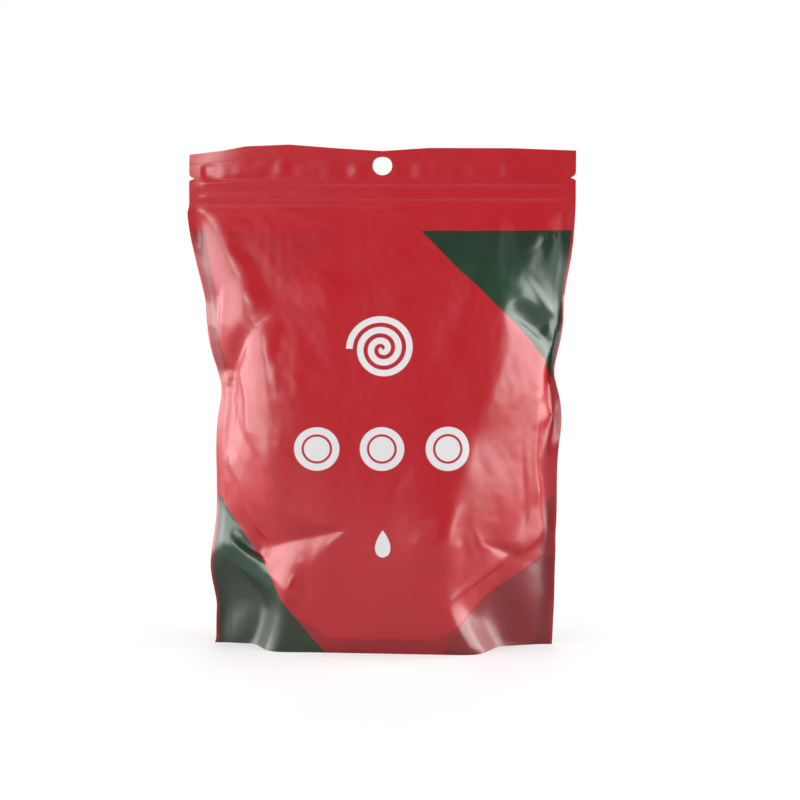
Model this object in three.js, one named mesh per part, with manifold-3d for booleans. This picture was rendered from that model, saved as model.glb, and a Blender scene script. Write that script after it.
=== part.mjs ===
// A sealed stand-up pouch of compressed towels, as one filled film pack: two panels heat-sealed down both
// sides, a bottom gusset folded up between them, a press-to-close zip, a hang hole and two tear notches.
// Millimetres, +Z up, front towards -Y, origin on the floor under the middle of the base.

import * as THREE from "three";
import { mergeVertices } from "three/addons/utils/BufferGeometryUtils.js";
import Module from "manifold-3d";

// Film pattern, as the empty pouch lies flat
const FLAT_WIDTH = 150; // across a panel, edge to edge
const FLAT_HEIGHT = 200; // up a panel, bottom edge to top edge
const PLY = 0.15; // thickness of one laminate film
const SIDE_SEAL = 5; // width of the heat seal down each side
const SKIRT = 6; // height of the bottom seal at the middle of a panel
const GUSSET_FOLD = 36; // height of the gusset's fold above the bottom edge
const CORNER_SEAL_RUN = 45; // along the bottom, from a side seal to where the corner seal meets the skirt
const CORNER_SEAL_POWER = 1.4; // 1 is a straight diagonal corner seal, more is hollower

// Header above the contents, measured down from the top edge
const HEADER = 24; // the two panels lie together down to here
const HANG_HOLE_DIAMETER = 8;
const HANG_HOLE_DOWN = 6.2; // to the hole's centre
const NOTCH_DOWN = 11.5; // to the tear notch's point
const NOTCH_DEPTH = 2;
const NOTCH_HEIGHT = 2;
const ZIP_DOWN = 16; // to the middle of the zip
const ZIP_TRACK_SPACING = 5.6; // between the zip's two tracks
const ZIP_TRACK_RADIUS = 0.6; // of the rib that each track presses into the film

// How the contents fill the pouch
const GUSSET_PULL = 0.97; // base half-depth as a share of the gusset film's free reach; 1 is pulled flat
const BELLY_HEIGHT = 0.41; // crown curve handles, as shares of the filled height and the base half-depth
const SHOULDER_HEIGHT = 0.88;
const SHOULDER_DEPTH = 0.93;

// Mesh fineness
const STATIONS = 28; // segments across a panel, between its side seals
const LEVELS = 30; // segments up the filled part of a panel
const SEAL_STEPS = 6; // segments up the bottom seal, between the bottom edge and the seal's upper edge
const HOLE_SEGMENTS = 32;
const TRACK_SEGMENTS = 10;
const WELD = 1e-4; // vertices closer than this are one
const HALVINGS = 60; // steps of a bisection
const CUT_CLEARANCE = 1; // how far a cutter runs past the face it cuts

const SEAL_THICKNESS = 2 * PLY;
const PANEL_FILM = FLAT_WIDTH - 2 * SIDE_SEAL; // free film across a panel, between its side seals
const BASE_DEPTH = GUSSET_PULL * (GUSSET_FOLD - SKIRT);

const wasm = await Module();
wasm.setup();

// A closed three.js geometry as a solid for joining and cutting.
function solidOf(geometry) {
  const bare = new THREE.BufferGeometry();
  bare.setAttribute("position", geometry.getAttribute("position"));
  bare.setIndex(geometry.getIndex());
  const welded = mergeVertices(bare, WELD);
  const vertProperties = welded.attributes.position.array;
  const triVerts = new Uint32Array(welded.index.array);
  return new wasm.Manifold(new wasm.Mesh({ numProp: 3, vertProperties, triVerts }));
}

function geometryOf(solid) {
  const { vertProperties, triVerts } = solid.getMesh();
  const geometry = new THREE.BufferGeometry();
  geometry.setAttribute("position", new THREE.BufferAttribute(vertProperties, 3));
  geometry.setIndex(new THREE.BufferAttribute(triVerts, 1));
  geometry.computeVertexNormals();
  return geometry;
}

// The value between low and high where a rising function reaches its target.
function solve(rising, target, low, high) {
  for (let i = 0; i < HALVINGS; i++) {
    const middle = (low + high) / 2;
    if (rising(middle) < target) low = middle;
    else high = middle;
  }
  return (low + high) / 2;
}

// A closed solid skin through loops of equal count, each counter-clockwise seen from the last one.
// flatten turns a loop's point into the plane that its end caps are triangulated in.
function loft(loops, flatten) {
  const count = loops[0].length;
  const positions = loops.flat().flatMap((p) => [p.x, p.y, p.z]);
  const index = [];
  for (let ring = 0; ring + 1 < loops.length; ring++) {
    for (let i = 0; i < count; i++) {
      const [a, b] = [ring * count + i, ring * count + ((i + 1) % count)];
      index.push(a, b, b + count, a, b + count, a + count);
    }
  }
  const last = (loops.length - 1) * count;
  for (const [a, b, c] of THREE.ShapeUtils.triangulateShape(loops[0].map(flatten), [])) index.push(c, b, a);
  for (const [a, b, c] of THREE.ShapeUtils.triangulateShape(loops.at(-1).map(flatten), [])) {
    index.push(last + a, last + b, last + c);
  }
  const geometry = new THREE.BufferGeometry();
  geometry.setAttribute("position", new THREE.Float32BufferAttribute(positions, 3));
  geometry.setIndex(index);
  return geometry;
}

// Half the angle of the arc that a panel's film makes when its crown stands out by depth. The film doesn't
// stretch, so its arc keeps its length and the pouch gets narrower where it is fuller.
function arcHalfAngle(depth) {
  return solve((angle) => (PANEL_FILM * (1 - Math.cos(angle))) / (2 * angle), depth, 1e-6, Math.PI / 2);
}

// A point of a panel's film, or of a surface that lies inside it by inset. share runs from -1 at the left
// side seal to 1 at the right one. Returns how far the point lies to the side and how far it stands out from
// the seam plane.
function panelPoint(share, depth, inset = 0) {
  const angle = arcHalfAngle(depth);
  const radius = PANEL_FILM / (2 * angle);
  return {
    aside: (radius - inset) * Math.sin(share * angle),
    out: (radius - inset) * Math.cos(share * angle) - radius * Math.cos(angle),
  };
}

// The crown: the curve up the middle of a panel, as depth against height, for a given filled height.
function crownCurve(filledHeight) {
  return new THREE.CubicBezierCurve(
    new THREE.Vector2(BASE_DEPTH, 0),
    new THREE.Vector2(BASE_DEPTH, BELLY_HEIGHT * filledHeight),
    new THREE.Vector2(SHOULDER_DEPTH * BASE_DEPTH, SHOULDER_HEIGHT * filledHeight),
    new THREE.Vector2(0, filledHeight),
  );
}

// The film up the middle keeps its length too, so the standing pouch is shorter than the flat one.
const CROWN_FILM = FLAT_HEIGHT - HEADER;
const FILLED_HEIGHT = solve((height) => crownCurve(height).getLength(), CROWN_FILM, 0, CROWN_FILM);
const TOP = FILLED_HEIGHT + HEADER;
const crown = crownCurve(FILLED_HEIGHT);

function crownDepthAt(height) {
  return crown.getPoint(solve((t) => crown.getPoint(t).y, height, 0, 1)).x;
}

// Places across a panel, evenly spread from -reach to reach.
function stations(reach) {
  return Array.from({ length: STATIONS + 1 }, (_, i) => reach * ((2 * i) / STATIONS - 1));
}

// A level section of the pack: the front film from left to right, then the back film from right to left,
// with the two plies lying together in a flat fin at each side seal.
function packSection(depth, height) {
  const film = stations(1).map((share) => panelPoint(share, depth));
  const edge = { aside: film.at(-1).aside + SIDE_SEAL, out: 0 };
  const across = [{ aside: -edge.aside, out: 0 }, ...film, edge];
  const front = across.map(({ aside, out }) => new THREE.Vector3(aside, -(out + PLY), height));
  const back = across.map(({ aside, out }) => new THREE.Vector3(aside, out + PLY, height));
  return [...front, ...back.reverse()];
}

function filledPack() {
  const filled = crown.getSpacedPoints(LEVELS).map((p) => packSection(Math.max(p.x, 0), p.y));
  return solidOf(loft([...filled, packSection(0, TOP)], (p) => new THREE.Vector2(p.x, p.y)));
}

// Height of the bottom seal's upper edge: the skirt's height along the middle, sweeping up to the gusset's
// fold at both side seals.
function sealHeight(share) {
  const run = ((1 - Math.abs(share)) * PANEL_FILM) / 2;
  const swept = Math.max(0, 1 - run / CORNER_SEAL_RUN) ** CORNER_SEAL_POWER;
  return SKIRT + (GUSSET_FOLD - SKIRT) * swept;
}

// The hollow under the pack. From the bottom edge the gusset film is sealed to the panel as far as the
// seal's upper edge, and the rest of it spans to a ridge over the base's long axis. The hollow ends near
// the side seals, where its two walls have come together.
function gussetHollow() {
  const wall = SEAL_THICKNESS - PLY; // from the middle of the panel's film to the hollow
  const reach = solve((share) => -panelPoint(share, BASE_DEPTH, wall).out, -SEAL_THICKNESS, 0, 1);
  const loops = stations(reach).map((share) => {
    const seal = sealHeight(share);
    const side = Array.from({ length: SEAL_STEPS + 1 }, (_, i) => {
      const height = (i * seal) / SEAL_STEPS;
      const { aside, out } = panelPoint(share, crownDepthAt(height), wall);
      return new THREE.Vector3(aside, out, height);
    });
    side.unshift(side[0].clone().setZ(-CUT_CLEARANCE));
    const head = side.at(-1);
    const span = GUSSET_FOLD - seal;
    const ridge = seal + Math.sqrt(Math.max(0, span ** 2 - head.y ** 2));
    const otherSide = side.map((p) => new THREE.Vector3(p.x, -p.y, p.z)).reverse();
    return [...side, new THREE.Vector3(head.x, 0, ridge), ...otherSide];
  });
  return solidOf(loft(loops, (p) => new THREE.Vector2(p.y, p.z)));
}

function hangHole() {
  const radius = HANG_HOLE_DIAMETER / 2;
  const punch = new THREE.CylinderGeometry(radius, radius, 2 * CUT_CLEARANCE, HOLE_SEGMENTS);
  punch.translate(0, 0, TOP - HANG_HOLE_DOWN); // a cylinder's axis is already Y, across the films
  return solidOf(punch);
}

// A V cut into one side edge: side is -1 for the left edge and 1 for the right one.
function tearNotch(side) {
  const open = NOTCH_HEIGHT / 2;
  const slope = 1 + CUT_CLEARANCE / NOTCH_DEPTH; // the V runs on past the edge
  const profile = new THREE.Shape([
    new THREE.Vector2(-NOTCH_DEPTH, 0),
    new THREE.Vector2(CUT_CLEARANCE, -open * slope),
    new THREE.Vector2(CUT_CLEARANCE, open * slope),
  ]);
  const cutter = new THREE.ExtrudeGeometry(profile, { depth: 2 * CUT_CLEARANCE, bevelEnabled: false });
  cutter.translate(FLAT_WIDTH / 2, 0, -CUT_CLEARANCE);
  cutter.rotateX(Math.PI / 2);
  if (side < 0) cutter.rotateZ(Math.PI);
  cutter.translate(0, 0, TOP - NOTCH_DOWN);
  return solidOf(cutter);
}

// One zip track: a round rod between the side seals that shows as a rib on both panels.
function zipTrack(offset) {
  const radius = ZIP_TRACK_RADIUS + PLY;
  const rod = new THREE.CylinderGeometry(radius, radius, PANEL_FILM, TRACK_SEGMENTS);
  rod.rotateZ(Math.PI / 2);
  rod.translate(0, 0, TOP - ZIP_DOWN + offset);
  return solidOf(rod);
}

function pouch() {
  let solid = filledPack().subtract(gussetHollow()).subtract(hangHole());
  for (const side of [-1, 1]) {
    solid = solid.subtract(tearNotch(side)).add(zipTrack((side * ZIP_TRACK_SPACING) / 2));
  }
  const film = new THREE.MeshStandardMaterial({ color: 0xc01f2c, roughness: 0.4, metalness: 0 });
  const mesh = new THREE.Mesh(geometryOf(solid), film);
  mesh.name = "pouch";
  return mesh;
}

const pack = new THREE.Group();
pack.add(pouch());

export default pack;
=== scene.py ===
"""A sealed stand-up pouch of compressed towels, in red satin film, on a white studio floor.

The film is cut flat as two panels and a bottom gusset, sealed along the edges, filled until it stands,
and left to settle as cloth, so that its folds come from film that bends and doesn't stretch.
"""

import math

import bpy
import numpy as np
from mathutils import Matrix, Vector, noise


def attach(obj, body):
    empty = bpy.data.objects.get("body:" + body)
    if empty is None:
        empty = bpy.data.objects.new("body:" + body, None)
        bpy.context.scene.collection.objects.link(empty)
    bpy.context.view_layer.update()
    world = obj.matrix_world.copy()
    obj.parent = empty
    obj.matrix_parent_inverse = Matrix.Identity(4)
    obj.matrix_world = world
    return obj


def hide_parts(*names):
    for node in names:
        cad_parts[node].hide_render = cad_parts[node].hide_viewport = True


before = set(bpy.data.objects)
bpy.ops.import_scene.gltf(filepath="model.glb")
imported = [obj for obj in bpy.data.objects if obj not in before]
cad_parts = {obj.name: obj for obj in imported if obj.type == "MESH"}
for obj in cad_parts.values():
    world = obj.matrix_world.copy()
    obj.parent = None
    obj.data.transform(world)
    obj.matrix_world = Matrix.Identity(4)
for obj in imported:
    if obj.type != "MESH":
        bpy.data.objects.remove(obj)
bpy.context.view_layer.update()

MM = 0.001

# Film pattern as the empty pouch lies flat, in millimetres
HALF_WIDTH = 75.0
FLAT_HEIGHT = 200.0
SIDE_SEAL = 5.0
FREE_HALF = HALF_WIDTH - SIDE_SEAL  # from the middle of a panel to a side seal
SKIRT = 6.0  # height of the bottom seal at the middle of a panel
GUSSET_FOLD = 36.0  # height of the gusset's fold
CORNER_RUN = 50.0  # along the bottom, from a side seal to where the corner seal meets the skirt
CORNER_POWER = 1.15  # 1 is a straight diagonal corner seal
FILM_THICKNESS = 0.3  # two plies of laminate sealed together

# Header, measured down from the top edge
HEADER = 22.4  # the two panels lie together down to here
HANG_HOLE_DOWN = 6.2
HANG_HOLE_RADIUS = 3.9
HANG_HOLE_STEP = 0.475 * HANG_HOLE_RADIUS  # between the rows of points round the hole
TOP_EDGE = 1.2  # row of points that keeps the top edge crisp
TOP_SEAL = 4.3
SEAL_STEP = 0.12  # from the loose film down onto a seal
NOTCH_DOWN = 11.0
NOTCH_DEPTH = 2.0
ZIP_TRACKS = (13.2, 18.8)
TRACK_STEP = 0.7  # between the rows of points that shape a track
TRACK_HEIGHT = 0.3
PANEL = FLAT_HEIGHT - HEADER  # film up the middle of a panel, from the bottom edge to the header

# Grid of the film
COLUMNS = 76
PANEL_ROWS = 94
GUSSET_ROWS = 19
GUSSET_LEAVES = 10.0  # above the bottom seal, where the gusset is clear of the panel
PLY_GAP = 1.0  # between free plies of the flat pouch, so that only sealed ones merge
TOUCHING = 0.1

# The standing pouch: a flat front between two crests, flanks that run back from the crests, and sealed
# corners at the foot that stay flat, as lengths of film at heights up the film
FRONT_DEPTH = ([(0, 16.0), (22, 18.0), (45, 20.0), (105, 18.0), (145, 11.0), (PANEL, 0)],
               [(0, 18.5), (20, 21.5), (45, 25.5), (86, 18.5), (110, 15.0), (140, 10.5), (PANEL, 0)])
FRONT_CREST = ([(0, 44.0), (20, 39.0), (42, 35.0), (62, 42.0), (110, 46.0), (150, 53.0), (PANEL, 68.0)],
               [(0, 37.0), (17, 26.0), (45, 24.0), (62, 28.0), (86, 36.0), (110, 42.0), (150, 51.0),
                (PANEL, 68.0)])
FRONT_FLAT = ([(0, 11.5), (22, 16.0), (34, 2.0), (40, 0), (PANEL, 0)],
              [(0, 17.0), (16, 26.0), (30, 14.0), (44, 0), (PANEL, 0)])
BACK_DEPTH = [(0, 25.0), (50, 21.0), (105, 17.0), (145, 11.0), (PANEL, 0)]
BACK_CREST = [(0, 38.0), (110, 44.0), (150, 52.0), (PANEL, 68.0)]
BACK_FLAT = [(0, 3.0), (30, 0), (PANEL, 0)]
PROFILE_ROUNDING = 7.0  # film length over which these are smoothed
CREST_TURN = 12.0  # film length over which a crest turns
FOOT_TURN = 5.0  # film length over which a flat corner turns into the flank
FLAT_ANGLES = (math.radians(13), math.radians(15))  # of the flat corners to the front
FOOT_FORWARD = 3.0  # how far forward the right side seal stands at the foot
FOOT_TOP = 55.0
FOOT_SPREAD = 60.0  # across the middle, where that comes in
TAKEN_UP = 0.987  # share of a panel's height left by its small crumples
STEEPEST_FLANK = 0.97  # sine of a flank's largest angle

# The settling of the film, simulated ten times as large, so that a unit is 100 mm
SIM_UNIT = 100.0
SIM_FRAMES = 40
FILL_LEVEL = 105.0  # the contents press on the film up to here, and less and less up to the top of the fill
FILL_TOP = 160.0

FRONT, GUSSET_RIDGE, BACK = -2, 0, 2  # layers of film, where the gusset's halves are -1 and 1
FRONT_SLOT, BACK_SLOT, GUSSET_SLOT = 0, 1, 2


def deselect():
    """Leaves nothing selected, so that the next operator acts on its own piece alone."""
    bpy.ops.object.select_all(action="DESELECT")


def select_only(piece):
    """Selects one piece and makes it the active one."""
    deselect()
    piece.select_set(True)
    bpy.context.view_layer.objects.active = piece


def coordinates(mesh):
    """A mesh's points as an array of rows."""
    flat = np.empty(len(mesh.vertices) * 3, np.float32)
    mesh.vertices.foreach_get("co", flat)
    return flat.reshape(-1, 3).astype(float)


# The film pattern


def row_heights():
    """Heights of a panel's rows of points: even up to the header, then close together at its features."""
    tracks = [down + i * TRACK_STEP for down in ZIP_TRACKS for i in (-2, -1, 0, 1, 2)]
    hole = [HANG_HOLE_DOWN + i * HANG_HOLE_STEP for i in (-2, -1, 0, 1, 2)]
    edges = [0.0, TOP_EDGE, NOTCH_DOWN, sum(ZIP_TRACKS) / 2, HEADER]
    header = sorted([*edges, *tracks, *hole], reverse=True)
    lower = [PANEL * i / PANEL_ROWS for i in range(PANEL_ROWS)]
    return np.array(lower + [FLAT_HEIGHT - down for down in header])


def seal_height(across):
    """Height of the bottom seal's upper edge, which sweeps up to the gusset's fold at the side seals."""
    run = np.clip(FREE_HALF - np.abs(across), 0, None)
    swept = np.clip(1 - run / CORNER_RUN, 0, None) ** CORNER_POWER
    return SKIRT + (GUSSET_FOLD - SKIRT) * swept


def at_height(height, profile):
    """A profile's value at one height, smoothed between the given heights."""
    spread = np.linspace(-1, 1, 9) * min(PROFILE_ROUNDING, height, PANEL - height)
    return float(np.mean(np.interp(height + spread, *zip(*profile))))


def rise():
    """How high the film stands, by film length up a panel."""
    film = np.linspace(0, PANEL, 200)
    depth = np.array([sum(at_height(v, profile) for profile in FRONT_DEPTH) / 2 for v in film])
    steps = np.sqrt(np.diff(film) ** 2 - np.diff(depth) ** 2)
    return film, np.concatenate([[0], np.cumsum(steps)]) * TAKEN_UP


RISE_FILM, RISE_HEIGHT = rise()
STANDING = RISE_HEIGHT[-1]  # height of the header's lower edge on the standing pouch


def section(height, depths, crests, flats):
    """One level of a filled panel, from the left side seal to the right: film length, aside, outward."""
    sides = []
    for flat_angle, *profiles in zip(FLAT_ANGLES, depths, crests, flats):
        depth, crest, flat = (at_height(height, profile) for profile in profiles)
        slant = FREE_HALF - crest - flat
        flat_climb = flat * math.sin(flat_angle)
        angle = math.asin(min((depth - flat_climb) / slant, STEEPEST_FLANK))
        flank_start = FREE_HALF - flat + FOOT_TURN / 2 * max(0, 1 - flat / FOOT_TURN)
        sides.append((crest, angle, flank_start, math.sin(angle) * slant + flat_climb))
    (left, left_angle, left_start, left_climb), (right, right_angle, right_start, right_climb) = sides
    tilt = math.asin((right_climb - left_climb) / (left + right))
    ends = np.linspace(-FREE_HALF, FREE_HALF, 561)
    step = ends[1] - ends[0]
    middles = ends[:-1] + step / 2

    def turned(place, length):
        t = np.clip((middles - place) / length + 0.5, 0, 1)
        return t * t * (3 - 2 * t)

    angle = FLAT_ANGLES[0] + (left_angle - FLAT_ANGLES[0]) * turned(-left_start, FOOT_TURN)
    angle += (tilt - left_angle) * turned(-left, CREST_TURN)
    angle -= (right_angle + tilt) * turned(right, CREST_TURN)
    angle += (right_angle - FLAT_ANGLES[1]) * turned(right_start, FOOT_TURN)
    aside = np.concatenate([[0], np.cumsum(np.cos(angle) * step)])
    out = np.concatenate([[0], np.cumsum(np.sin(angle) * step)])
    out = out - out[-1] * (ends + FREE_HALF) / (2 * FREE_HALF)
    return ends, aside - np.interp(0, ends, aside), out


def panel_places(across, height, side):
    """Places of panel points on the standing pouch."""
    places = np.zeros((len(across), 3))
    above = np.clip(height - PANEL, 0, None)
    places[:, 2] = np.interp(height, RISE_FILM, RISE_HEIGHT) + above
    for level in np.unique(height):
        row = height == level
        level = min(level, PANEL)
        ends, aside, out = section(level, FRONT_DEPTH, FRONT_CREST, FRONT_FLAT)
        if side > 0:
            seams = aside[0], aside[-1]
            ends, aside, out = section(level, [BACK_DEPTH] * 2, [BACK_CREST] * 2, [BACK_FLAT] * 2)
            aside = np.interp(aside, (aside[0], aside[-1]), seams)
        inside = np.clip(across[row], -FREE_HALF, FREE_HALF)
        places[row, 0] = np.interp(inside, ends, aside) + across[row] - inside
        places[row, 1] = side * np.interp(inside, ends, out)
    forward = FOOT_FORWARD * np.clip(1 - height / FOOT_TOP, 0, 1)
    places[:, 1] -= forward * np.clip(across / FOOT_SPREAD + 0.5, 0, 1)
    return places


def gusset_places(across, height, side):
    """Places of gusset points: sealed to the panel up to the seal's edge, then over to the ridge."""
    seal = seal_height(across)
    sealed = panel_places(across, np.minimum(height, seal), side)
    head = panel_places(across, seal, side)
    span = GUSSET_FOLD - seal
    climb = np.sqrt(np.clip(span ** 2 - head[:, 1] ** 2, 0, None))
    t = np.clip((height - seal) / np.maximum(span, 1e-6), 0, 1)
    free = head * np.stack([np.ones_like(t), 1 - t, np.ones_like(t)], axis=1)
    free[:, 2] += t * climb
    return np.where((height > seal)[:, None], free, sealed)


def film_sheet(name, heights, layers, film, inside_out):
    """One flat sheet of film, with its points' places across and up the pattern and their layer."""
    rows = len(heights) - 1
    deselect()
    bpy.ops.mesh.primitive_grid_add(x_subdivisions=COLUMNS, y_subdivisions=rows, size=2)
    sheet = bpy.context.object
    sheet.name = name
    sheet.data.materials.append(film)
    if inside_out:
        bpy.ops.object.mode_set(mode="EDIT")
        bpy.ops.mesh.select_all(action="SELECT")
        bpy.ops.mesh.flip_normals()
        bpy.ops.object.mode_set(mode="OBJECT")
    points = coordinates(sheet.data)
    row = np.rint((points[:, 1] + 1) / 2 * rows).astype(int)
    across, height = points[:, 0] * HALF_WIDTH, heights[row]
    corners = np.empty(len(sheet.data.loops), np.int32)
    sheet.data.loops.foreach_get("vertex_index", corners)
    chart = np.stack([across / FLAT_HEIGHT + 0.5, height / FLAT_HEIGHT], axis=1)[corners]
    sheet.data.uv_layers.active.data.foreach_set("uv", chart.astype(np.float32).ravel())
    return sheet, across, height, layers[row]


def punch_header(across, height):
    """Moves the points round the hang hole onto its circle, and one on each side into a tear notch."""
    up = height - (FLAT_HEIGHT - HANG_HOLE_DOWN)
    column = 2 * HALF_WIDTH / COLUMNS
    near = (np.abs(across) < 2.1 * column) & (np.abs(up) < HANG_HOLE_RADIUS)
    inner = (np.abs(across) < 1.1 * column) & (np.abs(up) < HANG_HOLE_RADIUS * 0.6)
    rim = near & ~inner
    away = np.hypot(across, up)
    across, height = across.copy(), height.copy()
    across[rim] *= HANG_HOLE_RADIUS / away[rim]
    height[rim] = FLAT_HEIGHT - HANG_HOLE_DOWN + up[rim] * HANG_HOLE_RADIUS / away[rim]
    notch = (np.abs(across) > HALF_WIDTH - 0.1) & (np.abs(height - FLAT_HEIGHT + NOTCH_DOWN) < 0.1)
    across[notch] -= np.sign(across[notch]) * NOTCH_DEPTH
    return across, height, near


def flat_places(across, height, layer, joined, sealed):
    """Places on the flat pouch: sealed plies lie together, free ones a little apart."""
    half_gap = np.where(np.abs(layer) == 2, PLY_GAP, np.where(sealed, PLY_GAP, PLY_GAP / 2))
    apart = np.where(joined | (layer == GUSSET_RIDGE), 0, np.sign(layer) * half_gap)
    return np.stack([across, apart, height], axis=1)


def filled_places(across, height, layer):
    """Places on the filled pouch."""
    places = np.zeros((len(across), 3))
    for side in (-1, 1):
        here = (np.sign(layer) == side) | ((layer == GUSSET_RIDGE) & (side > 0))
        for on_panel, place in ((True, panel_places), (False, gusset_places)):
            pick = here & ((np.abs(layer) == 2) == on_panel)
            places[pick] = place(across[pick], height[pick], side)
    return places


# Folds that the front carries: start and end across and up the pattern, reach, and outward move
FOLDS = [
    ((-66, 41), (-38, 25), 5, 2.5),
    ((-66, 106), (-48, 132), 6, -2.0),
    ((-64, 122), (-58, 140), 7, 2.0),
    ((62, 128), (52, 134), 4, -2.0),
    ((56, 142), (64, 136), 4, 1.5),
]
KINK_UP = 104.0  # where the left side seal is pushed in
KINK_REACH = 11.0
KINK_IN = 1.6
CRUMPLE = 3.0  # largest wander of the film before it settles
CRUMPLE_SIZE = 22.0
CALM_FRONT = 0.3  # share of that in the middle of a panel


def crumple(places, across, height, layer):
    """Pushes the filled film about, most on the flanks and least on the flat front, and folds it."""
    free = (height > TOUCHING) & (height < PANEL - TOUCHING)
    flank = np.clip(np.abs(across) / FREE_HALF, 0, 1) ** 2
    strength = CRUMPLE * free * (CALM_FRONT + (1 - CALM_FRONT) * flank)
    moved = places.copy()
    for i in np.flatnonzero(free):
        spot = Vector(places[i]) / CRUMPLE_SIZE
        moved[i, 1] += strength[i] * noise.noise(spot + Vector((0, 0.5, 0)))
        moved[i, 0] += 0.5 * strength[i] * noise.noise(spot + Vector((7.3, 0.5, 2.1)))
    spots = np.stack([across, height], axis=1)
    front = free & (layer < 0) & (height > seal_height(across))
    for start, end, reach, outward in FOLDS:
        start, end = np.array(start, float), np.array(end, float)
        along = np.clip((spots - start) @ (end - start) / np.sum((end - start) ** 2), 0, 1)
        away = np.linalg.norm(spots - start - along[:, None] * (end - start), axis=1)
        moved[:, 1] -= np.where(front, outward * np.exp(-(away / reach) ** 2), 0)
    kink = KINK_IN * np.exp(-((height - KINK_UP) / KINK_REACH) ** 2)
    moved[:, 0] += np.where(free, kink * np.clip(-across / FREE_HALF, 0, 1) ** 4, 0)
    return moved


def sealed_film(front_film, back_film, gusset_film):
    """The empty pouch: two panels and a gusset, merged where sealed, with the filled shape as a key."""
    heights = row_heights()
    steps = np.arange(2 * GUSSET_ROWS + 1)
    climb = np.minimum(steps, 2 * GUSSET_ROWS - steps)
    sheets = [
        film_sheet("front_panel", heights, np.full(len(heights), FRONT), front_film, False),
        film_sheet("back_panel", heights, np.full(len(heights), BACK), back_film, True),
        film_sheet("gusset", heights[climb], np.sign(steps - GUSSET_ROWS), gusset_film, True),
    ]
    across, height, layer = (np.concatenate([sheet[i] for sheet in sheets]) for i in (1, 2, 3))
    deselect()
    for sheet, *_ in sheets:
        sheet.select_set(True)
    bpy.context.view_layer.objects.active = sheets[0][0]
    bpy.ops.object.join()
    pouch = bpy.context.object
    pouch.name = "film_pouch"

    joined = (np.abs(across) > FREE_HALF - TOUCHING) | (height > PANEL - TOUCHING)
    sealed = height <= seal_height(across) + TOUCHING
    across, height, punched = punch_header(across, height)
    filled = filled_places(across, height, layer)
    filled = crumple(filled, across, height, layer)
    flat = flat_places(across, height, layer, joined, sealed)
    pouch.data.vertices.foreach_set("co", (flat / SIM_UNIT).astype(np.float32).ravel())
    pouch.shape_key_add(name="flat")
    key = pouch.shape_key_add(name="filled")
    key.data.foreach_set("co", (filled / SIM_UNIT).astype(np.float32).ravel())
    key.value = 1
    pouch.active_shape_key_index = 0
    slack = np.clip((height - FILL_LEVEL) / (FILL_TOP - FILL_LEVEL), 0, 1)
    weights = {
        "held": (height < TOUCHING) | (height > PANEL - TOUCHING),
        "pressed": np.where(joined | sealed, 0, 1 - slack),
        "seals": joined | sealed,
    }
    for name, weight in weights.items():
        group = pouch.vertex_groups.new(name=name)
        for i in np.flatnonzero(weight):
            group.add([int(i)], float(weight[i]), "REPLACE")

    # A sealed place has one sheet of faces, and the hang hole none
    spare = punched | (joined & (layer != FRONT)) | (sealed & (np.abs(layer) < 2))
    corners = np.empty(len(pouch.data.loops), np.int32)
    pouch.data.loops.foreach_get("vertex_index", corners)
    bpy.ops.object.mode_set(mode="EDIT")
    bpy.ops.mesh.select_mode(type="FACE")
    bpy.ops.mesh.select_all(action="DESELECT")
    bpy.ops.object.mode_set(mode="OBJECT")
    pouch.data.polygons.foreach_set("select", spare[corners.reshape(-1, 4)].all(axis=1))
    bpy.ops.object.mode_set(mode="EDIT")
    bpy.ops.mesh.delete(type="ONLY_FACE")
    bpy.ops.mesh.select_mode(type="VERT")
    bpy.ops.mesh.select_all(action="SELECT")
    bpy.ops.mesh.remove_doubles(threshold=TOUCHING / SIM_UNIT)
    bpy.ops.mesh.select_all(action="SELECT")
    bpy.ops.mesh.delete_loose(use_verts=True, use_edges=True, use_faces=False)
    bpy.ops.object.mode_set(mode="OBJECT")
    return pouch


def settle(pouch):
    """Lets the filled film settle: it keeps the flat pattern's lengths and is pressed out from inside."""
    film = pouch.modifiers.new("film", "CLOTH")
    film.settings.rest_shape_key = pouch.data.shape_keys.key_blocks["flat"]
    film.settings.vertex_group_mass = "held"
    film.settings.quality = 8
    film.settings.mass = 0.1
    film.settings.air_damping = 1
    film.settings.tension_stiffness = 60
    film.settings.compression_stiffness = 60
    film.settings.shear_stiffness = 30
    film.settings.bending_stiffness = 0.4
    film.settings.vertex_group_bending = "seals"
    film.settings.bending_stiffness_max = 12
    film.settings.tension_damping = 15
    film.settings.compression_damping = 15
    film.settings.shear_damping = 15
    film.settings.bending_damping = 1
    film.settings.use_pressure = True
    film.settings.vertex_group_pressure = "pressed"
    film.settings.uniform_pressure_force = 0.5
    film.settings.effector_weights.gravity = 0
    film.collision_settings.use_collision = False
    film.collision_settings.use_self_collision = False
    film.point_cache.frame_start = 1
    film.point_cache.frame_end = SIM_FRAMES
    for step in range(1, SIM_FRAMES + 1):
        bpy.context.scene.frame_set(step)
    select_only(pouch)
    bpy.ops.object.convert(target="MESH")
    pouch = bpy.context.object
    pouch.data.transform(Matrix.Scale(SIM_UNIT * MM, 4))
    return pouch


CUT_EDGE = math.radians(70)  # least angle of a cut edge of the film
SMOOTH_UP_TO = math.radians(60)  # edges that turn less are shaded smooth


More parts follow.
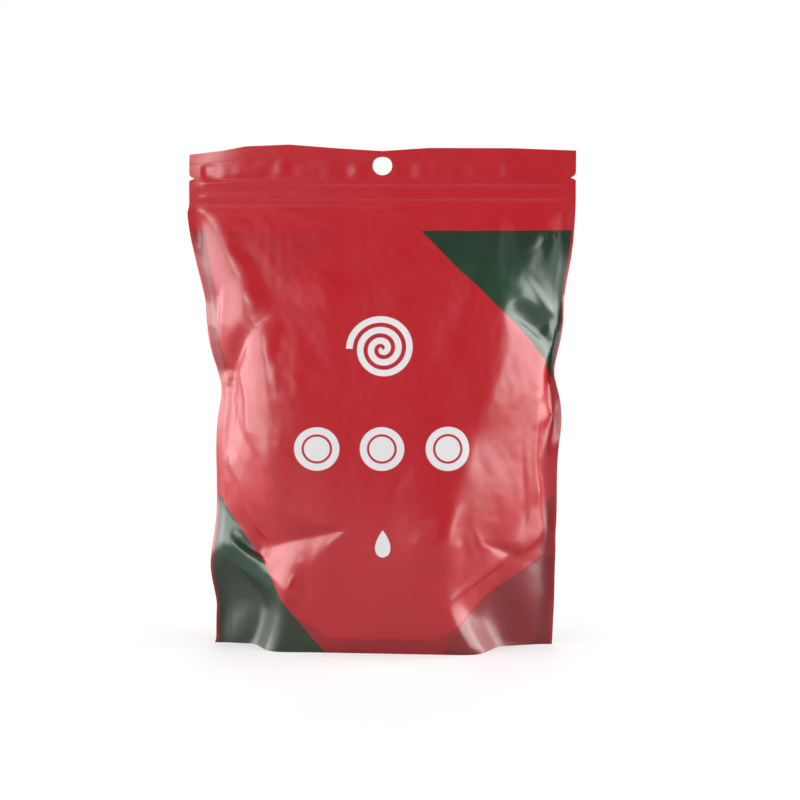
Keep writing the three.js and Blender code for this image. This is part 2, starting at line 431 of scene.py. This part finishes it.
def film_skin(pouch):
    """Gives the film its thickness and keeps the outer skin, with sharp cut edges and raised zip tracks."""
    select_only(pouch)
    part_plies(pouch.data)
    wall = pouch.modifiers.new("wall", "SOLIDIFY")
    wall.solidify_mode = "NON_MANIFOLD"
    wall.nonmanifold_thickness_mode = "FIXED"
    wall.thickness = FILM_THICKNESS * MM
    wall.offset = 0
    wall.material_offset = BACK_SLOT - FRONT_SLOT
    bpy.ops.object.modifier_apply(modifier=wall.name)
    bpy.ops.object.mode_set(mode="EDIT")
    bpy.ops.mesh.select_all(action="SELECT")
    bpy.ops.mesh.separate(type="LOOSE")
    bpy.ops.object.mode_set(mode="OBJECT")
    shells = sorted(bpy.context.selected_objects, key=lambda shell: shell.dimensions.x)
    pouch = shells.pop()
    for shell in shells:
        bpy.data.objects.remove(shell)
    pouch.name = "film_pouch"
    select_only(pouch)
    raise_tracks(pouch.data)
    bpy.ops.object.mode_set(mode="EDIT")
    bpy.ops.mesh.select_mode(type="EDGE")
    bpy.ops.mesh.select_all(action="DESELECT")
    bpy.ops.mesh.edges_select_sharp(sharpness=CUT_EDGE)
    bpy.ops.transform.edge_crease(value=1)
    bpy.ops.object.mode_set(mode="OBJECT")
    smooth = pouch.modifiers.new("smooth", "SUBSURF")
    smooth.levels = 1
    smooth.render_levels = 1
    bpy.ops.object.modifier_apply(modifier=smooth.name)
    crease_front(pouch.data)
    handle_edges(pouch.data)
    show_films(pouch.data)
    bpy.ops.object.shade_smooth_by_angle(angle=SMOOTH_UP_TO)
    return pouch


# Creases on the front: tip and foot across and up the pattern, height at the foot, and the width there of
# the facets on its left and right, seen from the tip
CREASES = [
    ((-13, 51), (-54, 40), -8.0, 26, 24),
    ((20, 18), (70, 46), 2.2, 14, 5),
    ((38, 46), (56, 38), -1.6, 5, 6),
    ((36, 52), (41, 43), 0.7, 3, 3),
    ((-42, 136), (-72, 102), -1.8, 8, 20),
    ((-60, 118), (-52, 88), 1.2, 7, 7),
    ((62, 104), (65, 62), 1.6, 5, 4),
    ((57, 92), (59, 56), -1.2, 4, 5),
    ((48, 136), (68, 122), -1.8, 6, 5),
    ((56, 150), (68, 134), 1.2, 5, 5),
    ((-62, 150), (-66, 130), 1.0, 5, 5),
    ((52, 156), (68, 166), -1.2, 6, 7),
    ((-58, 60), (-66, 74), 1.4, 5, 6),
]
CREASE_ROUNDING = 0.008
CREASE_POWER = 1.7  # 1 gives flat facets, more lets them run out smoothly
CREASE_FADE = 0.35  # share of its length over which a crease fades past its foot


def crease_front(mesh):
    """Folds creases into the front, each a ridge or valley between two facets that meet at a tip."""
    points, across, up, slot = skin_places(mesh)
    spots = np.stack([across, up], axis=1)
    lift = np.zeros(len(points))
    for tip, foot, height, left, right in CREASES:
        tip, foot = np.array(tip, float), np.array(foot, float)
        length = np.linalg.norm(foot - tip)
        axis = (foot - tip) / length
        along = (spots - tip) @ axis / length
        aside = (spots - tip) @ np.array([-axis[1], axis[0]])
        grown = np.clip(along, 1e-3, 1)
        width = np.where(aside > 0, left, right) * grown
        tent = np.clip(1 - np.sqrt((aside / width) ** 2 + CREASE_ROUNDING), 0, None)
        fade = np.clip(1 - (along - 1) / CREASE_FADE, 0, 1)
        lift += height * grown * tent ** CREASE_POWER * fade * (along > 0)
    lift *= np.clip((FREE_HALF + 0.5 - np.abs(across)) / SIDE_SEAL, 0, 1) * np.clip(up / SKIRT, 0, 1)
    off_seal = np.clip((up - seal_height(across)) / (2 * SKIRT), 0, 1)
    room = np.clip((between_seams(points, across, up) - points[:, 1]) / MM - 1, 0, None)
    lift = np.where(lift < 0, np.maximum(lift * off_seal, -room), lift)
    normals = np.empty(len(points) * 3, np.float32)
    mesh.vertices.foreach_get("normal", normals)
    moved = points + normals.reshape(-1, 3) * (lift * (slot == FRONT_SLOT) * MM)[:, None]
    mesh.vertices.foreach_set("co", moved.astype(np.float32).ravel())


# Bends of the header and the side seals. The wavy edge is given across the pattern, with its rise there
WAVY_EDGE = [(-75, -2.4), (-62, -0.8), (-53, 0.9), (-36, 1.6), (-18, 0.2), (0, -0.9), (18, 0.3), (50, 0.2),
             (75, -0.7)]
WAVE_DOWN = 15.0  # below the top edge, where the waves end
CORNER_CURL = 3.0  # how far back the top left corner curls
CURL_ACROSS = 50.0  # left of the middle, where the curl starts
RIPPLE = 0.42  # of the loose film between the top seal and the zip
RIPPLE_SIZE = 5.0
RIPPLE_DOWN = (4.6, 12.0)
LEFT_FIN_TURN = (42.0, 24.0, 44.0, 138.0, 164.0)  # degrees, then heights over which it starts and ends
RIGHT_FIN_TURN = (28.0, 92.0, 112.0, 140.0, 164.0)
TACK_UP = 23.0  # half-round tack where the panels are sealed through the gusset
TACK_RADIUS = 5.2
TACK_DEPTH = 0.1


def handle_edges(mesh):
    """Bends the edges of the settled pouch: wavy header, rippled film above the zip, turned side seals."""
    points, across, up, _ = skin_places(mesh)
    down = FLAT_HEIGHT - up
    wave = np.interp(across, *zip(*WAVY_EDGE))
    bent = np.clip(1 - down / WAVE_DOWN, 0, 1)
    points[:, 2] += wave * bent * MM
    curl = np.clip((-across - CURL_ACROSS) / (HALF_WIDTH - CURL_ACROSS), 0, 1) ** 2
    points[:, 1] += CORNER_CURL * bent * curl * MM
    loose = np.clip((down - RIPPLE_DOWN[0]) / 1.5, 0, 1) * np.clip((RIPPLE_DOWN[1] - down) / 2, 0, 1)
    for i in np.flatnonzero(loose * (np.abs(across) < FREE_HALF)):
        spot = Vector((across[i] / RIPPLE_SIZE, down[i] / (2 * RIPPLE_SIZE), 0.5))
        points[i, 1] += RIPPLE * loose[i] * noise.noise(spot) * MM
    for side, (turn, *stops) in ((-1, LEFT_FIN_TURN), (1, RIGHT_FIN_TURN)):
        angle = math.radians(turn) * np.interp(up, stops, (0, 1, 1, 0))
        out = np.clip(side * across - FREE_HALF, 0, None)
        points[:, 0] -= side * out * (1 - np.cos(angle)) * MM
        points[:, 1] += out * np.sin(angle) * MM
    normals = np.empty(len(points) * 3, np.float32)
    mesh.vertices.foreach_get("normal", normals)
    from_tack = np.hypot(np.abs(across) - HALF_WIDTH, up - TACK_UP)
    on_film = HALF_WIDTH - np.abs(across) > TOUCHING
    pressed = TACK_DEPTH * np.clip(TACK_RADIUS - from_tack + 0.5, 0, 1) * on_film
    points -= normals.reshape(-1, 3) * (pressed * MM)[:, None]
    mesh.vertices.foreach_set("co", points.astype(np.float32).ravel())


def skin_places(mesh):
    """The film's points, their places across and up the pattern, and the slot of the film they lie on."""
    corners = np.empty(len(mesh.loops), np.int32)
    mesh.loops.foreach_get("vertex_index", corners)
    chart = np.empty(len(mesh.loops) * 2, np.float32)
    mesh.uv_layers.active.data.foreach_get("uv", chart)
    places = np.zeros((len(mesh.vertices), 2))
    places[corners] = chart.reshape(-1, 2)
    slot = np.zeros(len(mesh.vertices), int)
    for face in mesh.polygons:
        slot[list(face.vertices)] = face.material_index
    return coordinates(mesh), (places[:, 0] - 0.5) * FLAT_HEIGHT, places[:, 1] * FLAT_HEIGHT, slot


def between_seams(points, across, up):
    """Depth of the plane between the two side seals at each point's height."""
    depths = []
    for side in (-1, 1):
        seam = np.flatnonzero(np.abs(side * across - FREE_HALF - 1) < 1)
        seam = seam[np.argsort(up[seam])]
        depths.append(np.interp(up, up[seam], points[seam, 1]))
    share = np.clip((across + FREE_HALF) / (2 * FREE_HALF), 0, 1)
    return depths[0] + (depths[1] - depths[0]) * share


# Room between plies close to a seal, in millimetres
PLY_SLOPE = 0.25  # from the plane between the side seals, for each millimetre off a seal
PLY_APART = 1.5  # and at most
SEAL_EDGE = 0.5  # points this close to a seal stay with it
FOLD_ENDS = 4.0  # from a side seal, where the gusset's fold lies flat
PLY_START = 0.5  # from a panel to the gusset at the bottom seal
PLY_SPREAD = 0.2  # and more for each millimetre above it


def part_plies(mesh):
    """Keeps the front before the plane between the side seals, the back behind it and the gusset inside."""
    points, across, up, slot = skin_places(mesh)
    middle = between_seams(points, across, up)
    off_seal = np.minimum(FREE_HALF + 1 - np.abs(across), PANEL - up)
    gap = np.clip(PLY_SLOPE * off_seal, 0, PLY_APART) * MM
    free = (off_seal > SEAL_EDGE) & (up > seal_height(across) + TOUCHING)
    front = free & (slot == FRONT_SLOT)
    back = free & (slot == BACK_SLOT)
    fold = free & (slot == GUSSET_SLOT) & (off_seal < FOLD_ENDS)
    points[front, 1] = np.minimum(points[front, 1], (middle - gap)[front])
    points[back, 1] = np.maximum(points[back, 1], (middle + gap)[back])
    points[fold, 1] = np.clip(points[fold, 1], (middle - gap / 2)[fold], (middle + gap / 2)[fold])

    # Along the bottom seal the gusset leaves the panel on its inner side
    normals = np.empty(len(points) * 3, np.float32)
    mesh.vertices.foreach_get("normal", normals)
    normals = normals.reshape(-1, 3)
    above = up - seal_height(across)
    spots = list(zip(slot, np.rint(across), np.rint(up)))
    on_panel = {spots[i]: i for i in np.flatnonzero(front | back)}
    for i in np.flatnonzero(free & (slot == GUSSET_SLOT) & (above < GUSSET_LEAVES)):
        pair = [on_panel.get((panel, *spots[i][1:])) for panel in (FRONT_SLOT, BACK_SLOT)]
        apart = [np.linalg.norm(points[i] - points[j]) if j is not None else math.inf for j in pair]
        nearest = pair[int(np.argmin(apart))]
        if nearest is not None:
            inside = (points[nearest] - points[i]) @ normals[nearest]
            needed = (PLY_START + PLY_SPREAD * above[i]) * MM
            points[i] -= normals[nearest] * max(0, needed - inside)
    mesh.vertices.foreach_set("co", points.astype(np.float32).ravel())


def show_films(mesh):
    """Shows the gusset's film on the hidden side of the front panel's bottom seal."""
    points, across, up, _ = skin_places(mesh)
    before = points[:, 1] < between_seams(points, across, up)
    hidden = before & (up < seal_height(across)) & (np.abs(across) < FREE_HALF - 2)
    for face in mesh.polygons:
        if face.material_index == BACK_SLOT and hidden[list(face.vertices)].all():
            face.material_index = GUSSET_SLOT


def raise_tracks(mesh):
    """Lifts the rows of points along each zip track off the header, on both faces."""
    points = coordinates(mesh)
    down = STANDING + HEADER - points[:, 2] / MM
    inside = np.abs(points[:, 0]) < FREE_HALF * MM
    for track in ZIP_TRACKS:
        off_track = np.abs(down - track) / (2 * TRACK_STEP)
        lift = TRACK_HEIGHT * np.clip(1 - off_track ** 2, 0, None) * (inside & (down < HEADER))
        points[:, 1] += np.sign(points[:, 1]) * lift * MM
    mesh.vertices.foreach_set("co", points.astype(np.float32).ravel())


# Finishes


def linear(hex_colour):
    """An sRGB hex colour as linear red, green, blue and alpha."""
    channels = [int(hex_colour[i:i + 2], 16) / 255 for i in (1, 3, 5)]
    return [c / 12.92 if c <= 0.04045 else ((c + 0.055) / 1.055) ** 2.4 for c in channels] + [1]


def add(tree, kind, settings=None, *inputs, **sockets):
    """Adds a node. Its inputs come in order or by name, each a value, a node or one of a node's outputs."""
    node = tree.nodes.new(kind)
    for name, value in (settings or {}).items():
        setattr(node, name, value)
    named = {name.replace("_", " "): value for name, value in sockets.items()}
    for key, value in [*enumerate(inputs), *named.items()]:
        if isinstance(value, bpy.types.Node):
            value = value.outputs[0]
        if isinstance(value, bpy.types.NodeSocket):
            tree.links.new(value, node.inputs[key])
        else:
            node.inputs[key].default_value = value
    return node


MATH, RANGE, MIX = "ShaderNodeMath", "ShaderNodeMapRange", "ShaderNodeMix"
PLUS = {"operation": "ADD"}
MINUS = {"operation": "SUBTRACT"}
TIMES = {"operation": "MULTIPLY"}
TIMES_PLUS = {"operation": "MULTIPLY_ADD"}
LEAST = {"operation": "MINIMUM"}
MOST = {"operation": "MAXIMUM"}
SIZE = {"operation": "ABSOLUTE"}
POWER = {"operation": "POWER"}
COLOUR = {"data_type": "RGBA"}

# The print, in millimetres across from the middle of a panel and up from its bottom edge
INK_EDGE = 0.12  # half the width over which an ink's edge fades
CORNER_FIELD_TOP = 168.0  # corner field at the upper right
FIELD_DARKENS = 146.0  # from here up to its top
CORNER_FIELD_WIDE = 59.4
CORNER_FIELD_TALL = 61.0
FOOT_FIELD_WIDE = 52.0  # corner field at the lower left
FOOT_FIELD_TALL = 61.0
FIELD_MARGIN = 1.0  # from a field to the side edge
ROLL_UP = 121.0  # rolled towel
ROLL_RADIUS = 13.0
ROLL_TURN = 4.2  # from one turn of the roll to the next
TABLET_UP = 82.0  # row of towel tablets
TABLET_RADIUS = 8.5
TABLET_RING = 0.62 * TABLET_RADIUS
RING_HALF = 0.45  # half the width of a tablet's ring
TABLET_APART = 25.0
DROP_UP = 45.0
DROP_HALF = 5.5  # half the drop's height
DROP_WIDTH = 0.55 * DROP_HALF


# The film's finish, in millimetres
DRIFT_SIZE = 28.0  # slow drift of the red ink
GRAIN_SIZE = 0.9
GRAIN_HEIGHT = 0.012
WIPE_SIZE = 11.0  # patches where the satin is more or less rubbed
CRINKLE_SIZE = 5.5
CRINKLE_HEIGHT = 0.12
THIN_FROM, THIN_TO = 110.0, 172.0  # up the pattern, where the pouch grows thin
THIN_SHOWS = 0.1  # how much of the other panel's dark fields shows there


def corner_fields(tree, across, up):
    """How far inside the two dark corner fields a place lies."""
    slope = math.hypot(CORNER_FIELD_WIDE, CORNER_FIELD_TALL)
    edge = HALF_WIDTH - FIELD_MARGIN
    left = add(tree, MATH, TIMES_PLUS, across, CORNER_FIELD_TALL / slope,
               (CORNER_FIELD_WIDE - edge) * CORNER_FIELD_TALL / slope)
    below = add(tree, MATH, MINUS, CORNER_FIELD_TOP, up)
    diagonal = add(tree, MATH, TIMES_PLUS, below, -CORNER_FIELD_WIDE / slope, left)
    right_edge = add(tree, MATH, MINUS, edge, across)
    upper = add(tree, MATH, LEAST, add(tree, MATH, LEAST, diagonal, below), right_edge)
    slope = math.hypot(FOOT_FIELD_WIDE, FOOT_FIELD_TALL)
    left_edge = add(tree, MATH, PLUS, across, edge)
    fall = add(tree, MATH, TIMES_PLUS, left_edge, -FOOT_FIELD_TALL / slope,
               FOOT_FIELD_WIDE * FOOT_FIELD_TALL / slope)
    diagonal = add(tree, MATH, TIMES_PLUS, up, -FOOT_FIELD_WIDE / slope, fall)
    lower = add(tree, MATH, LEAST, diagonal, left_edge)
    inside = add(tree, MATH, MOST, upper, lower)
    return add(tree, RANGE, None, inside, -INK_EDGE, INK_EDGE)


def distance(tree, aside, above):
    """Length of the slant between two square sides."""
    squares = [add(tree, MATH, POWER, add(tree, MATH, SIZE, side), 2) for side in (aside, above)]
    return add(tree, MATH, POWER, add(tree, MATH, PLUS, *squares), 0.5)


def white_motifs(tree, across, up):
    """A rolled towel seen from its end, a row of three tablets and a drop of water."""
    aside = add(tree, MATH, SIZE, across)
    above = add(tree, MATH, MINUS, up, ROLL_UP)
    away = distance(tree, aside, above)
    bearing = add(tree, MATH, {"operation": "ARCTAN2"}, above, across)
    turn = add(tree, MATH, TIMES_PLUS, bearing, -1 / math.tau, add(tree, MATH, TIMES, away, 1 / ROLL_TURN))
    wound = add(tree, MATH, {"operation": "PINGPONG"}, turn, 0.5)
    band = add(tree, MATH, TIMES_PLUS, wound, ROLL_TURN, -0.2 * ROLL_TURN)
    lap = add(tree, MATH, TIMES_PLUS, bearing, ROLL_TURN / math.tau, ROLL_RADIUS)
    roll = add(tree, MATH, LEAST, band, add(tree, MATH, MINUS, lap, away))

    outer = add(tree, MATH, SIZE, add(tree, MATH, MINUS, aside, TABLET_APART))
    nearest = add(tree, MATH, LEAST, aside, outer)
    away = distance(tree, nearest, add(tree, MATH, MINUS, up, TABLET_UP))
    disc = add(tree, MATH, MINUS, TABLET_RADIUS, away)
    off_ring = add(tree, MATH, SIZE, add(tree, MATH, MINUS, away, TABLET_RING))
    ring = add(tree, MATH, MINUS, off_ring, RING_HALF)
    tablets = add(tree, MATH, LEAST, disc, ring)

    level = add(tree, MATH, TIMES_PLUS, up, 1 / DROP_HALF, -DROP_UP / DROP_HALF)
    taper = add(tree, MATH, MOST, add(tree, MATH, MINUS, 1, level), 0)
    foot = add(tree, MATH, MOST, add(tree, MATH, PLUS, 1, level), 0)
    reach = add(tree, MATH, TIMES, taper, add(tree, MATH, POWER, foot, 0.5))
    drop = add(tree, MATH, MINUS, add(tree, MATH, TIMES, reach, DROP_WIDTH), aside)
    drop = add(tree, MATH, MINUS, drop, 2 * INK_EDGE)

    inside = add(tree, MATH, MOST, add(tree, MATH, MOST, roll, tablets), drop)
    return add(tree, RANGE, None, inside, -INK_EDGE, INK_EDGE)


def printed_laminate(name, facing):
    """Satin film, reverse printed: soft glare on turned film, and darker inks where plies are sealed."""
    film = bpy.data.materials.new(name)
    film.use_nodes = True
    tree = film.node_tree
    chart = add(tree, "ShaderNodeSeparateXYZ", None, add(tree, "ShaderNodeUVMap", {"uv_map": "UVMap"}))
    across = add(tree, MATH, TIMES_PLUS, chart.outputs[0], facing * FLAT_HEIGHT, -facing * FLAT_HEIGHT / 2)
    up = add(tree, MATH, TIMES, chart.outputs[1], FLAT_HEIGHT)
    other = add(tree, MATH, TIMES, across, -1)

    # Inks
    place = add(tree, "ShaderNodeCombineXYZ", None, across, up, facing * 40.0)
    drift = add(tree, "ShaderNodeTexNoise", None, Vector=place, Scale=1 / DRIFT_SIZE, Detail=2.0)
    red = add(tree, MIX, COLOUR, drift, A=linear("#ba0d1c"), B=linear("#c31121"))
    shoulder = add(tree, RANGE, {"interpolation_type": "SMOOTHSTEP"}, up, FIELD_DARKENS, CORNER_FIELD_TOP)
    green = add(tree, MIX, COLOUR, shoulder, A=linear("#103c20"), B=linear("#18301e"))
    field = corner_fields(tree, across, up)
    ink = add(tree, MIX, COLOUR, field, A=red.outputs[2], B=green.outputs[2])
    if facing > 0:
        ink = add(tree, MIX, COLOUR, white_motifs(tree, across, up), A=ink.outputs[2], B=linear("#f0eef0"))

    # The other panel's dark fields show through the side seals, and faintly through the thin upper part
    at_side = add(tree, RANGE, None, add(tree, MATH, SIZE, across), FREE_HALF - 2.0, FREE_HALF - 1.5)
    near_top = add(tree, RANGE, None, up, THIN_FROM, THIN_TO, 0, THIN_SHOWS)
    run = add(tree, MATH, MINUS, FREE_HALF, add(tree, MATH, SIZE, across))
    swept = add(tree, RANGE, None, run, 0, CORNER_RUN, GUSSET_FOLD, SKIRT)
    sealed = add(tree, RANGE, None, add(tree, MATH, MINUS, up, swept), 0.3, -0.3)
    contact = add(tree, MATH, MOST, add(tree, MATH, TIMES, at_side, 0.42), near_top)
    contact = add(tree, MATH, MOST, contact, add(tree, MATH, TIMES, sealed, 0.3))
    through = add(tree, MATH, TIMES, corner_fields(tree, other, up), contact)
    ink = add(tree, MIX, COLOUR, through, A=ink.outputs[2], B=linear("#2a2420"))
    darker = add(tree, MATH, TIMES, sealed, 0.34)
    ink = add(tree, MIX, COLOUR, darker, A=ink.outputs[2], B=linear("#3a1216"))
    top_seal = add(tree, RANGE, None, up, FLAT_HEIGHT - TOP_SEAL - 0.2, FLAT_HEIGHT - TOP_SEAL + 0.2)
    pressed = add(tree, MATH, TIMES, add(tree, MATH, MOST, top_seal, sealed), -SEAL_STEP)
    satin_finish(tree, place, ink, pressed)
    return film


def plain_laminate(name):
    """The same satin film printed with red alone, for the gusset."""
    film = bpy.data.materials.new(name)
    film.use_nodes = True
    tree = film.node_tree
    chart = add(tree, "ShaderNodeUVMap", {"uv_map": "UVMap"})
    place = add(tree, "ShaderNodeVectorMath", {"operation": "SCALE"}, chart, Scale=FLAT_HEIGHT)
    drift = add(tree, "ShaderNodeTexNoise", None, Vector=place, Scale=1 / DRIFT_SIZE, Detail=2.0)
    ink = add(tree, MIX, COLOUR, drift, A=linear("#b20f1f"), B=linear("#bc1424"))
    satin_finish(tree, place, ink, 0)
    return film


def satin_finish(tree, place, ink, pressed):
    """Satin surface over an ink, with its grain drawn as coarse as it needs to show."""
    shader = tree.nodes["Principled BSDF"]
    shader.inputs["IOR"].default_value = 1.6
    shader.inputs["Coat Weight"].default_value = 1
    shader.inputs["Coat IOR"].default_value = 1.5
    shader.inputs["Coat Roughness"].default_value = 0.28
    grain = add(tree, "ShaderNodeTexNoise", None, Vector=place, Scale=1 / GRAIN_SIZE, Detail=3.0)
    wipe = add(tree, "ShaderNodeTexNoise", None, Vector=place, Scale=1 / WIPE_SIZE, Detail=3.0)
    rough = add(tree, RANGE, None, wipe, 0.3, 0.7, 0.33, 0.4)
    crinkle = add(tree, "ShaderNodeTexNoise", None, Vector=place, Scale=1 / CRINKLE_SIZE, Detail=4.0)
    relief = add(tree, MATH, TIMES_PLUS, crinkle, CRINKLE_HEIGHT, pressed)
    relief = add(tree, MATH, TIMES_PLUS, grain, GRAIN_HEIGHT, relief)
    bump = add(tree, "ShaderNodeBump", None, Strength=1.0, Distance=MM, Height=relief)
    tree.links.new(ink.outputs[2], shader.inputs["Base Color"])
    tree.links.new(rough.outputs[0], shader.inputs["Roughness"])
    tree.links.new(bump.outputs[0], shader.inputs["Normal"])


# Studio

FLOOR_SIZE = 1.2
ROOM_LIGHT = 0.05  # plain grey of the room, for all but the camera's own rays
SWEEP_MIRRORED = 0.4  # strength of the white sweep where the film mirrors it


def studio():
    """A white sweep, a wide softbox at each side, one high behind, and a small one by the camera."""
    paper = bpy.data.materials.new("matt_white_paper")
    paper.use_nodes = True
    tree = paper.node_tree
    shader = tree.nodes["Principled BSDF"]
    shader.inputs["Roughness"].default_value = 0.9
    seen = add(tree, "ShaderNodeLightPath").outputs["Is Camera Ray"]
    shade = add(tree, MIX, COLOUR, seen, A=linear("#a8a8a8"), B=linear("#ffffff"))
    tree.links.new(shade.outputs[2], shader.inputs["Base Color"])
    place = add(tree, "ShaderNodeTexCoord").outputs["Object"]
    away = add(tree, "ShaderNodeVectorMath", {"operation": "LENGTH"}, place).outputs["Value"]
    far = add(tree, RANGE, {"interpolation_type": "SMOOTHSTEP"}, away, 0.03, 0.3, 0.35, 1)
    glow = add(tree, "ShaderNodeEmission", None, Strength=1.0)
    blend = add(tree, "ShaderNodeMixShader", None, add(tree, MATH, TIMES, far, seen), shader, glow)
    tree.links.new(blend.outputs[0], tree.nodes["Material Output"].inputs["Surface"])
    deselect()
    bpy.ops.mesh.primitive_plane_add(size=FLOOR_SIZE, location=(0, 0, 0))
    floor = bpy.context.object
    floor.name = "studio_floor"
    floor.data.materials.append(paper)

    world = bpy.data.worlds.new("studio_room")
    bpy.context.scene.world = world
    world.use_nodes = True
    tree = world.node_tree
    rays = add(tree, "ShaderNodeLightPath").outputs
    heading = add(tree, "ShaderNodeSeparateXYZ", None, add(tree, "ShaderNodeTexCoord").outputs["Generated"])
    behind = add(tree, RANGE, None, heading.outputs["Y"], 0.0, 0.5, 0, SWEEP_MIRRORED)
    indirect = add(tree, MATH, MOST, rays["Is Glossy Ray"], rays["Is Transmission Ray"])
    mirrored = add(tree, MATH, TIMES, indirect, behind)
    sweep = add(tree, MATH, MOST, rays["Is Camera Ray"], mirrored)
    light = add(tree, MATH, MOST, sweep, ROOM_LIGHT)
    tree.links.new(light.outputs[0], tree.nodes["Background"].inputs["Strength"])
    tree.nodes["Background"].inputs["Color"].default_value = (1, 1, 1, 1)
    softbox("left_softbox", azimuth=-82, elevation=14, distance=0.85, size=(1.3, 1.0), power=14)
    softbox("right_softbox", azimuth=82, elevation=14, distance=0.85, size=(1.3, 1.0), power=16)
    softbox("back_softbox", azimuth=180, elevation=45, distance=0.9, size=(0.6, 0.4), power=3)
    softbox("key_softbox", azimuth=-27, elevation=15, distance=0.9, size=(0.2, 0.3), power=1.4)


def softbox(name, azimuth, elevation, distance, size, power):
    """A lamp behind a rectangular diffuser, facing the pouch's middle from an angle off the front."""
    lamp = bpy.data.lights.new(name, "AREA")
    lamp.shape = "RECTANGLE"
    lamp.size, lamp.size_y = size
    lamp.energy = power
    holder = bpy.data.objects.new(name, lamp)
    bpy.context.scene.collection.objects.link(holder)
    turn, tip = math.radians(azimuth), math.radians(elevation)
    toward = Vector((math.sin(turn) * math.cos(tip), -math.cos(turn) * math.cos(tip), math.sin(tip)))
    holder.location = Vector((0, 0, 0.1)) + toward * distance
    holder.rotation_euler = (-toward).to_track_quat("-Z", "Y").to_euler()


def camera():
    """Level with the pouch and a little above, far enough for a long lens, as the photograph was taken."""
    lens = bpy.data.cameras.new("camera")
    lens.sensor_width = 36
    lens.angle = math.radians(20)
    distance = 0.89
    holder = bpy.data.objects.new("camera", lens)
    bpy.context.scene.collection.objects.link(holder)
    elevation = math.radians(7)
    back = Vector((0, -math.cos(elevation), math.sin(elevation)))
    aim = Vector((6.8, 0, 97)) * MM
    holder.location = aim + back * distance
    holder.rotation_euler = (-back).to_track_quat("-Z", "Y").to_euler()
    bpy.context.scene.camera = holder


bpy.context.scene.view_settings.view_transform = "Standard"
front_film = printed_laminate("printed_laminate_front", 1)
back_film = printed_laminate("printed_laminate_back", -1)
gusset_film = plain_laminate("plain_laminate_gusset")
pouch = sealed_film(front_film, back_film, gusset_film)
pouch = settle(pouch)
pouch = film_skin(pouch)
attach(pouch, "root")
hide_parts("pouch")
studio()
camera()
